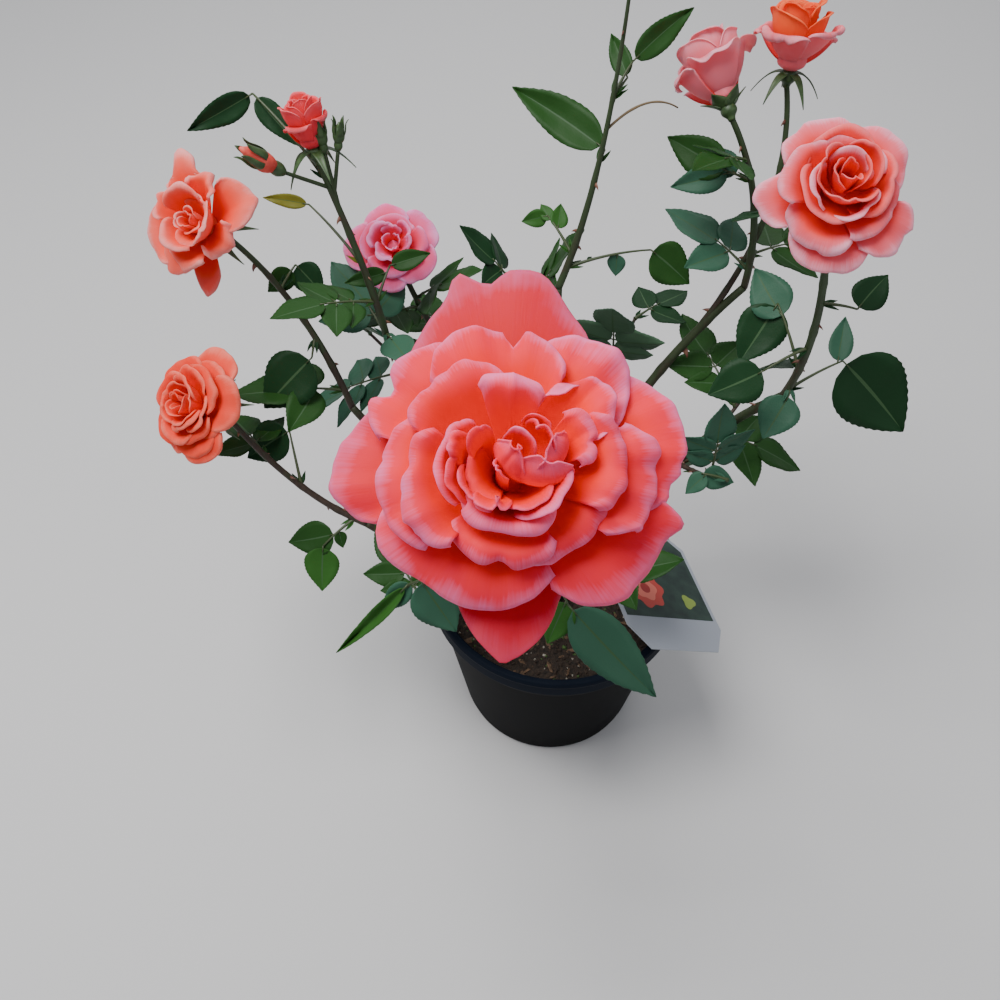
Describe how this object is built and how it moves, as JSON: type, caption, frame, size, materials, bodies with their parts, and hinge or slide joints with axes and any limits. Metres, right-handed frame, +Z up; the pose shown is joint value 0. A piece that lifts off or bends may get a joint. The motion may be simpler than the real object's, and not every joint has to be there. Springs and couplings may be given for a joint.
{
  "type": "potted rose bush",
  "caption": "Potted shrub rose with coral and pink double blooms on leafy canes that rise from a round plastic nursery pot, with a blank-backed picture label.",
  "frame": {"origin": "middle of the pot's flat underside, on the ground that the pot stands on", "axes": "+Z up; -Y towards the side on which the largest bloom leans out over the pot; +X to the right as seen from there"},
  "size_m": [0.5062, 0.469, 0.6065],
  "materials": {
    "pot": "satin",
    "soil": "matte",
    "bark": "matte",
    "cane": "satin",
    "petal": "matte",
    "petal_pink": "matte",
    "petal_red": "matte",
    "label": "satin",
    "leaf": "satin"
  },
  "bodies": {
    "root": {"pot": "pot", "potting_soil": "soil", "stem_base": "bark", "cane_front": "cane", "cane_right": "cane", "cane_back_right": "cane", "cane_centre": "cane", "cane_back_left": "cane", "cane_left": "cane", "cane_left_low": "cane", "cane_back": "cane", "bloom_front": "petal", "bloom_right": "petal", "bloom_left_high": "petal", "bloom_left_low": "petal", "bloom_back_pink": "petal_pink", "bloom_drooping": "petal_red", "bloom_opening": "petal", "bloom_bud_left": "petal_red", "plant_label": "label", "foliage_front": "leaf", "foliage_right": "leaf", "foliage_drooping": "leaf", "foliage_opening": "leaf", "foliage_centre": "leaf", "foliage_back_left": "leaf", "foliage_left": "leaf", "foliage_left_low": "leaf", "foliage_back": "leaf", "foliage_front_side": "leaf", "foliage_right_side": "leaf", "foliage_right_low": "leaf", "foliage_back_low": "leaf", "foliage_back_high": "leaf", "foliage_left_side": "leaf", "foliage_far_left": "leaf", "foliage_low_front": "leaf"}
  },
  "joints": []
}
